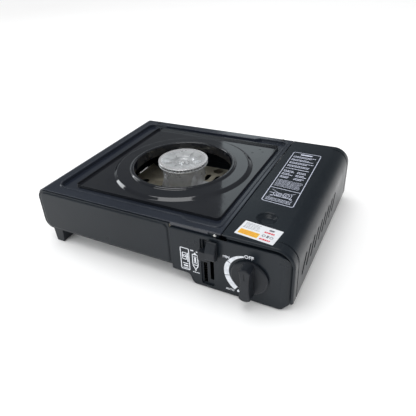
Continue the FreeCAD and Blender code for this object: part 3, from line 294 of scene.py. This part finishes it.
MATERIALS = {
    "casing_black": coated_steel(
        "casing_coat", (0.006, 0.009, 0.013), (0.011, 0.015, 0.020), 0.30, 1.0, 0.0005, 0.0, 0.30),
    "top_plate_black": coated_steel(
        "plate_coat", (0.010, 0.013, 0.021), (0.016, 0.020, 0.030), 0.17, 0.5, 0.0004, 0.4),
    "pan_enamel": glossy_enamel("pan_coat", (0.007, 0.008, 0.011), (0.012, 0.013, 0.016)),
    "zinc_sheet": plated_sheet("zinc_plate", (0.52, 0.48, 0.38), (0.76, 0.71, 0.58), 0.36),
    "screw_black": coated_steel(
        "screw_paint", (0.020, 0.021, 0.024), (0.034, 0.036, 0.040), 0.34, 0.6, 0.0003),
    "spring_steel": bright_metal("spring_wire", (0.08, 0.075, 0.07), (0.16, 0.15, 0.14), 0.42),
    "screw_steel": bright_metal("screw_plate", (0.52, 0.52, 0.51), (0.72, 0.72, 0.70), 0.26),
    "cast_aluminium": cast_metal(
        "cast_skin", (0.62, 0.63, 0.64), (0.84, 0.85, 0.86), 0.30, BURNER.z - 0.00025),
    "tube_steel": bright_metal("tube_finish", (0.42, 0.43, 0.44), (0.60, 0.61, 0.62), 0.34),
    "copper_pipe": bright_metal("pipe_copper", (0.58, 0.30, 0.19), (0.76, 0.45, 0.30), 0.30),
    "brass": bright_metal("brass_finish", (0.62, 0.46, 0.20), (0.80, 0.64, 0.32), 0.24),
    "black_rubber": moulded(
        "rubber_finish", (0.014, 0.014, 0.014), (0.024, 0.024, 0.024), 0.72, 0.00004, 0.35),
    "control_plastic": moulded(
        "knob_plastic", (0.008, 0.010, 0.014), (0.014, 0.017, 0.022), 0.36, 0.00002, 0.32),
    "igniter_plastic": moulded("igniter_body", (0.62, 0.60, 0.54), (0.74, 0.72, 0.67), 0.42),
    "lead_sleeve": moulded("sleeve_silicone", (0.016, 0.016, 0.017), (0.028, 0.028, 0.030), 0.46),
    "electrode_white": moulded(
        "alumina_glaze", (0.78, 0.76, 0.70), (0.88, 0.86, 0.82), 0.22, 0.00001),
    "label_paper": printed("label_stock", (0.58, 0.60, 0.63), (0.68, 0.70, 0.73), 0.50, 0.02),
}
INKS = {
    "white": printed("ink_white", (0.62, 0.65, 0.70), (0.84, 0.86, 0.90), 0.45, 0.18),
    "pale": printed("ink_pale", (0.42, 0.45, 0.56), (0.62, 0.65, 0.76), 0.45, 0.30),
    "yellow": printed("ink_yellow", (0.62, 0.34, 0.012), (0.78, 0.45, 0.03), 0.5, 0.04),
    "red": printed("ink_red", (0.52, 0.015, 0.03), (0.66, 0.03, 0.05), 0.5, 0.04),
    "grey": printed("ink_grey", (0.10, 0.10, 0.12), (0.22, 0.22, 0.25), 0.40, 0.05),
}

for entry in frame["record"]["subparts"]:
    cad = nodes[entry["node"]]
    cad.data.materials.clear()
    cad.data.materials.append(MATERIALS[entry["material_slot"]])


# ------------------------------------------------------------------ thin printed marks
def on_panel(u, v, h):
    """Point on the control panel's face: u along X, v along Z, h out of the face, all in mm."""
    return Vector((u * MM, PANEL_Y - h * MM, v * MM))


def on_lid(u, v, h):
    """Point on the lid's top: u along X, v along Y counted from the case middle, h above it."""
    return Vector((u * MM, v * MM + CASE_MIDDLE_Y, LID_Z + h * MM))


def marks(name, shapes, place, body, ink, low=0.0, high=0.06):
    """One closed mesh of thin flat marks. Each shape is (outer loop, inner loop or None)."""
    bm = bmesh.new()
    for outer, inner in shapes:
        top = [bm.verts.new(place(u, v, high)) for u, v in outer]
        base = [bm.verts.new(place(u, v, low)) for u, v in outer]
        count = len(outer)
        for i in range(count):
            j = (i + 1) % count
            bm.faces.new((base[i], base[j], top[j], top[i]))
        if inner is None:
            bm.faces.new(top)
            bm.faces.new(list(reversed(base)))
            continue
        top_in = [bm.verts.new(place(u, v, high)) for u, v in inner]
        base_in = [bm.verts.new(place(u, v, low)) for u, v in inner]
        for i in range(count):
            j = (i + 1) % count
            bm.faces.new((top[i], top[j], top_in[j], top_in[i]))
            bm.faces.new((base[j], base[i], base_in[i], base_in[j]))
            bm.faces.new((base_in[j], base_in[i], top_in[i], top_in[j]))
    bmesh.ops.recalc_face_normals(bm, faces=bm.faces)
    mesh = bpy.data.meshes.new(name)
    bm.to_mesh(mesh)
    bm.free()
    piece = bpy.data.objects.new(name, mesh)
    bpy.context.scene.collection.objects.link(piece)
    mesh.materials.append(INKS[ink])
    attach(piece, body)
    return piece


def loop(u0, u1, v0, v1, r=0.0, steps=4):
    """Corners of a rectangle, rounded by r."""
    if r <= 0:
        return [(u0, v0), (u1, v0), (u1, v1), (u0, v1)]
    points = []
    corners = ((u1 - r, v0 + r, -90), (u1 - r, v1 - r, 0), (u0 + r, v1 - r, 90), (u0 + r, v0 + r, 180))
    for cu, cv, start in corners:
        for i in range(steps + 1):
            a = math.radians(start + 90 * i / steps)
            points.append((cu + r * math.cos(a), cv + r * math.sin(a)))
    return points


def bar(u0, u1, v0, v1, r=0.0):
    return loop(u0, u1, v0, v1, r), None


def ring(u0, u1, v0, v1, r, width):
    return loop(u0, u1, v0, v1, r), loop(u0 + width, u1 - width, v0 + width, v1 - width, max(r - width, 0.05))


def line(u0, v0, u1, v1, width):
    du, dv = u1 - u0, v1 - v0
    k = width / 2 / math.hypot(du, dv)
    start = [(u0 - dv * k, v0 + du * k), (u0 + dv * k, v0 - du * k)]
    end = [(u1 + dv * k, v1 - du * k), (u1 - dv * k, v1 + du * k)]
    return start + end, None


def disc_ring(cu, cv, r, width, steps=28):
    turns = [2 * math.pi * i / steps for i in range(steps)]
    outer = [(cu + r * math.cos(a), cv + r * math.sin(a)) for a in turns]
    inner = [(cu + (r - width) * math.cos(a), cv + (r - width) * math.sin(a)) for a in turns]
    return outer, inner


def words(name, text, size, place, body, ink, at, thick=0.035, high=0.06):
    """Short generic word or number as a thin mesh, centred on at."""
    curve = bpy.data.curves.new(name + "_font", "FONT")
    curve.body = text
    curve.size = size
    curve.offset = thick
    curve.resolution_u = 3
    curve.align_x = "CENTER"
    curve.align_y = "CENTER"
    holder = bpy.data.objects.new(name + "_font", curve)
    bpy.context.scene.collection.objects.link(holder)
    bpy.context.view_layer.update()
    flat = bpy.data.meshes.new_from_object(holder.evaluated_get(bpy.context.evaluated_depsgraph_get()))
    bpy.data.objects.remove(holder)
    bm = bmesh.new()
    bm.from_mesh(flat)
    bpy.data.meshes.remove(flat)
    bmesh.ops.remove_doubles(bm, verts=bm.verts, dist=0.0005)
    lower = bmesh.ops.duplicate(bm, geom=bm.verts[:] + bm.edges[:] + bm.faces[:])
    low_verts = [v for v in lower["geom"] if isinstance(v, bmesh.types.BMVert)]
    pairs = {v: w for v, w in lower["vert_map"].items()}
    outline_edges = [e for e in lower["geom"] if isinstance(e, bmesh.types.BMEdge) and len(e.link_faces) == 1]
    for edge in outline_edges:
        a, b = edge.verts
        bm.faces.new((a, b, pairs[b], pairs[a]))
    low_set = set(low_verts)
    for v in bm.verts:
        v.co = place(at[0] + v.co.x, at[1] + v.co.y, 0.0 if v in low_set else high)
    bmesh.ops.recalc_face_normals(bm, faces=bm.faces)
    mesh = bpy.data.meshes.new(name)
    bm.to_mesh(mesh)
    bm.free()
    piece = bpy.data.objects.new(name, mesh)
    bpy.context.scene.collection.objects.link(piece)
    mesh.materials.append(INKS[ink])
    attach(piece, body)
    return piece


def text_rows(rng, u0, u1, rows, height, shortest=0.6):
    """Rows of small blocks that read as unreadable fine print."""
    shapes = []
    for v in rows:
        end = u0 + (u1 - u0) * rng.uniform(shortest, 1.0)
        u = u0
        while u < end - 1.0:
            length = rng.uniform(0.8, 2.6)
            stop = min(u + length, end)
            shapes.append(bar(u, stop, v - height / 2, v + height / 2))
            u = stop + rng.uniform(0.35, 0.6)
    return shapes


ARC_STEPS = 180
ARC_GAPS = {66, 123}


def dial_arc():
    """Setting arc round the knob that widens from its thin upper end to its lower end."""
    outer = []
    inner = []
    start, end = math.radians(106), math.radians(234)
    for i in range(ARC_STEPS + 1):
        t = i / ARC_STEPS
        a = start + (end - start) * t
        r_out = 26.6 + 3.6 * min(1.0, t * 2.2)
        r_in = 24.6 - 0.2 * t
        if t > 0.55:
            r_in -= 1.2 * (t - 0.55) / 0.45
        outer.append((KNOB_X / MM + r_out * math.cos(a), KNOB_Z / MM + r_out * math.sin(a)))
        inner.append((KNOB_X / MM + r_in * math.cos(a), KNOB_Z / MM + r_in * math.sin(a)))
    return outer, inner


def strips(outer, inner, gaps):
    """Splits a band given by two lines into closed pieces, leaving out the steps in gaps."""
    shapes = []
    run = []
    for i in range(len(outer)):
        if i in gaps:
            if len(run) > 1:
                shapes.append(run)
            run = []
        else:
            run.append(i)
    if len(run) > 1:
        shapes.append(run)
    return [([outer[i] for i in run] + [inner[i] for i in reversed(run)], None) for run in shapes]


rng = random.Random(11)
arc_outer, arc_inner = dial_arc()
marks("dial_arc", strips(arc_outer, arc_inner, ARC_GAPS), on_panel, "stove_body", "white")
words("dial_off", "OFF", 6.0, on_panel, "stove_body", "white", (123.6, 60.2), 0.20)
words("dial_low", "MIN", 4.4, on_panel, "stove_body", "white", (97.6, 53.2), 0.20)
words("dial_auto", "AUTO", 3.6, on_panel, "stove_body", "white", (101.8, 8.6), 0.17)
flame = [(111.0, 8.0), (112.6, 8.4), (113.2, 9.8), (112.5, 11.2),
         (111.6, 12.6), (111.1, 11.2), (110.4, 10.6), (109.9, 9.4)]
marks("dial_flame", [(flame, None)], on_panel, "stove_body", "white")

stove_icon = [ring(40.2, 52.0, 18.6, 50.0, 1.6, 1.1), ring(42.5, 48.5, 33.0, 43.4, 1.4, 1.0),
              disc_ring(45.5, 38.2, 1.9, 0.9), bar(49.0, 50.4, 30.6, 43.4), bar(43.0, 50.0, 27.0, 28.3),
              bar(43.8, 49.6, 23.4, 25.4, 0.4), bar(42.8, 50.0, 20.6, 21.6)]
marks("panel_icon_stove", stove_icon, on_panel, "stove_body", "white")
can_icon = [ring(55.4, 63.2, 28.4, 44.4, 1.4, 1.1), ([(57.4, 44.4), (61.2, 44.4), (59.3, 47.2)], None),
            bar(58.2, 60.4, 31.8, 41.0, 0.4), bar(57.5, 61.1, 40.0, 41.4), bar(57.5, 61.1, 31.4, 32.8),
            line(55.8, 28.3, 59.3, 22.8, 1.1), line(62.8, 28.3, 59.3, 22.8, 1.1),
            bar(58.4, 60.2, 20.8, 22.8, 0.8),
            bar(53.6, 57.6, 48.0, 49.6), bar(60.8, 64.8, 47.4, 49.0)]
can_icon += text_rows(rng, 55.4, 64.2, [18.4], 1.2, 0.96)
marks("panel_icon_cartridge", can_icon, on_panel, "stove_body", "white")


# ------------------------------------------------------------------ printed panel and label on the lid
def lid_frame_point(s, t):
    """Point of the printed lid panel: s across from left to right, t along from rear to front."""
    left = Vector((102.6 + 2.1 * t, 92.4 - 139.7 * t))
    right = Vector((141.6 + 2.9 * t, 91.4 - 142.5 * t))
    p = left.lerp(right, s)
    return p.x, p.y


PRINT_WIDTH = 39.0
PRINT_LENGTH = 141.0


def on_lid_panel(u, v, h):
    """Point on the printed lid panel: u in mm across it, v in mm towards the front."""
    x, y = lid_frame_point(u / PRINT_WIDTH, v / PRINT_LENGTH)
    return on_lid(x, y, h)


panel_lines = [ring(0, PRINT_WIDTH, 0, PRINT_LENGTH, 3.0, 0.9), bar(0.6, 38.4, 106.6, 107.5)]
marks("lid_print_frame", panel_lines, on_lid_panel, "lid", "pale")
heading = [bar(11.5, 27.5, 4.2, 7.6, 0.6)]
marks("lid_print_heading", heading, on_lid_panel, "lid", "pale")
rows = []
for v in (13, 16, 22.5, 25.5, 32, 35, 41.5, 44.5, 51):
    rows += text_rows(rng, 3.2, 36.0, [v], 1.5, 0.72)
for v in (58, 61, 66.5, 69.5, 75, 78):
    rows += text_rows(rng, 3.2, 17.5, [v], 1.5, 0.7)
    rows += text_rows(rng, 21.0, 36.0, [v], 1.5, 0.7)
for i in range(7):
    rows += text_rows(rng, 3.2, 36.2, [85 + 2.7 * i], 0.8, 0.92)
marks("lid_print_rows", rows, on_lid_panel, "lid", "pale")
sketch = [line(5, 112, 34, 128, 0.5), line(34, 112, 5, 128, 0.5), ring(9, 19, 117, 124, 1.5, 0.6),
          ring(21, 31, 115, 124, 1.5, 0.6), bar(6, 33, 124.6, 125.4), bar(3.6, 9, 119, 119.8),
          disc_ring(14, 120.4, 2.2, 0.6, 20), disc_ring(26, 119.4, 2.6, 0.6, 20)]
sketch += text_rows(rng, 3.4, 35.6, [131, 133.6, 136.2], 0.9, 0.9)
marks("lid_print_sketch", sketch, on_lid_panel, "lid", "pale")

LABEL_C = ((label_low.x + label_high.x) / 2 / MM, ((label_low.y + label_high.y) / 2 - CASE_MIDDLE_Y) / MM)
LABEL_TURN = math.radians(-6.6)


def on_label(u, v, h):
    x = LABEL_C[0] + u * math.cos(LABEL_TURN) - v * math.sin(LABEL_TURN)
    y = LABEL_C[1] + u * math.sin(LABEL_TURN) + v * math.cos(LABEL_TURN)
    return on_lid(x, y, h) + Vector((0, 0, label_high.z - LID_Z))


yellow_block = [bar(-19.8, 2.6, -10.6, -2.2, 0.3)]
marks("label_yellow", yellow_block, on_label, "lid", "yellow", 0.0, 0.03)
yellow_print = text_rows(rng, -18.6, 1.6, [-4.2, -6.4, -8.6], 0.4, 0.7)
marks("label_yellow_print", yellow_print, on_label, "lid", "red", 0.03, 0.05)
fine_print = text_rows(rng, -19.4, 2.6, [10.4, 8.2, 6.0, 3.8, 1.6], 0.7, 0.7)
marks("label_fine_print", fine_print, on_label, "lid", "grey", 0.0, 0.02)
red_bars = text_rows(rng, 5.0, 17.4, [3.4, -9.2], 2.5, 0.98)
marks("label_red_bars", red_bars, on_label, "lid", "red", 0.0, 0.03)
emblem = [bar(8.2, 14.0, 7.0, 9.8, 1.0), disc_ring(7.2, -3.0, 2.1, 0.8, 18),
          bar(10.4, 12.8, -5.2, -0.8, 0.3), disc_ring(15.8, -3.0, 2.1, 0.8, 18)]
marks("label_emblems", emblem, on_label, "lid", "grey", 0.0, 0.03)


# ------------------------------------------------------------------ floor, light and camera
FLOOR_HALF = 9.0
FLOOR_Z = -0.0004


def floor():
    bm = bmesh.new()
    bmesh.ops.create_grid(bm, x_segments=2, y_segments=2, size=FLOOR_HALF)
    mesh = bpy.data.meshes.new("studio_floor")
    bm.to_mesh(mesh)
    bm.free()
    piece = bpy.data.objects.new("studio_floor", mesh)
    piece.location = (0, 0, FLOOR_Z)
    bpy.context.scene.collection.objects.link(piece)
    g = Graph("floor_paper")
    g.set("Base Color", g.blend(g.noise(3, 3, 0.5), (0.93, 0.93, 0.93), (0.96, 0.96, 0.96)))
    g.set("Roughness", g.fit(g.noise(40, 3, 0.5), 0.3, 0.7, 0.80, 0.92))
    g.set("Specular IOR Level", 0.2)
    g.set("Normal", g.bump(g.noise(300, 3, 0.6), 0.00005))
    mesh.materials.append(g.material)


def softbox(name, at, target, width, height, power, color=(1, 1, 1)):
    data = bpy.data.lights.new(name, "AREA")
    data.shape = "RECTANGLE"
    data.size = width
    data.size_y = height
    data.energy = power
    data.color = color
    lamp = bpy.data.objects.new(name, data)
    lamp.location = at
    lamp.rotation_euler = (Vector(target) - Vector(at)).to_track_quat("-Z", "Y").to_euler()
    bpy.context.scene.collection.objects.link(lamp)
    return lamp


REFLECTED_TINT = (0.90, 0.96, 1.0)


def world():
    """White room for the floor; in reflections a bright band low down and a dim ceiling above it."""
    w = bpy.data.worlds.new("studio")
    bpy.context.scene.world = w
    w.use_nodes = True
    tree = w.node_tree
    tree.nodes.clear()
    out = tree.nodes.new("ShaderNodeOutputWorld")
    pale = tree.nodes.new("ShaderNodeBackground")
    pale.inputs[0].default_value = (1.0, 1.0, 1.0, 1)
    pale.inputs[1].default_value = 1.0
    dim = tree.nodes.new("ShaderNodeBackground")
    dim.inputs[1].default_value = 1.0
    coord = tree.nodes.new("ShaderNodeTexCoord")
    split = tree.nodes.new("ShaderNodeSeparateXYZ")
    tree.links.new(coord.outputs["Generated"], split.inputs[0])
    ramp = tree.nodes.new("ShaderNodeValToRGB")
    steps = [(0.0, 0.52), (0.13, 0.42), (0.24, 0.17), (0.52, 0.14), (0.80, 0.18), (1.0, 0.30)]
    stops = ramp.color_ramp.elements
    stops[0].position = steps[0][0]
    stops[1].position = steps[-1][0]
    for place, value in steps[1:-1]:
        stops.new(place)
    for stop, (place, value) in zip(stops, steps):
        stop.color = (*(value * part for part in REFLECTED_TINT), 1)
    tree.links.new(split.outputs[2], ramp.inputs[0])
    tree.links.new(ramp.outputs[0], dim.inputs[0])
    path = tree.nodes.new("ShaderNodeLightPath")
    mix = tree.nodes.new("ShaderNodeMixShader")
    tree.links.new(path.outputs["Is Glossy Ray"], mix.inputs[0])
    tree.links.new(pale.outputs[0], mix.inputs[1])
    tree.links.new(dim.outputs[0], mix.inputs[2])
    tree.links.new(mix.outputs[0], out.inputs[0])


floor()
world()
softbox("top_box", (-0.25, -0.15, 1.7), (0, 0, 0.05), 1.3, 0.9, 9)
softbox("front_box", (-0.95, -1.85, 0.95), (0, -0.1, 0.05), 1.9, 0.24, 5, (0.88, 0.96, 1.0))
softbox("back_box", (-0.72, 2.0, 1.12), (0.0, 0, 0.08), 0.34, 0.80, 0.6, (0.86, 0.96, 1.0))
softbox("side_box", (-1.9, 0.3, 0.9), (0, 0, 0.05), 0.4, 0.9, 5, (0.95, 0.97, 1.0))

CAMERA_AT = Vector((251.71, -452.44, 345.45)) * MM
AZIMUTH = math.radians(29.6)
ELEVATION = math.radians(31.7)
ROLL = math.radians(-3.73)
level = math.cos(ELEVATION)
forward = Vector((-math.sin(AZIMUTH) * level, math.cos(AZIMUTH) * level, -math.sin(ELEVATION)))
right = Vector((math.cos(AZIMUTH), math.sin(AZIMUTH), 0))
up = right.cross(forward)
right_rolled = right * math.cos(ROLL) + up * math.sin(ROLL)
up_rolled = up * math.cos(ROLL) - right * math.sin(ROLL)
lens = bpy.data.cameras.new("view")
lens.sensor_width = 36.0
lens.lens = 37.42
lens.shift_x = 0.0292
lens.shift_y = -0.0094
lens.clip_start = 0.01
lens.clip_end = 50.0
camera = bpy.data.objects.new("view", lens)
camera.matrix_world = Matrix((
    (right_rolled.x, up_rolled.x, -forward.x, CAMERA_AT.x),
    (right_rolled.y, up_rolled.y, -forward.y, CAMERA_AT.y),
    (right_rolled.z, up_rolled.z, -forward.z, CAMERA_AT.z),
    (0, 0, 0, 1)))
bpy.context.scene.collection.objects.link(camera)
bpy.context.scene.camera = camera
bpy.context.scene.view_settings.view_transform = "Standard"
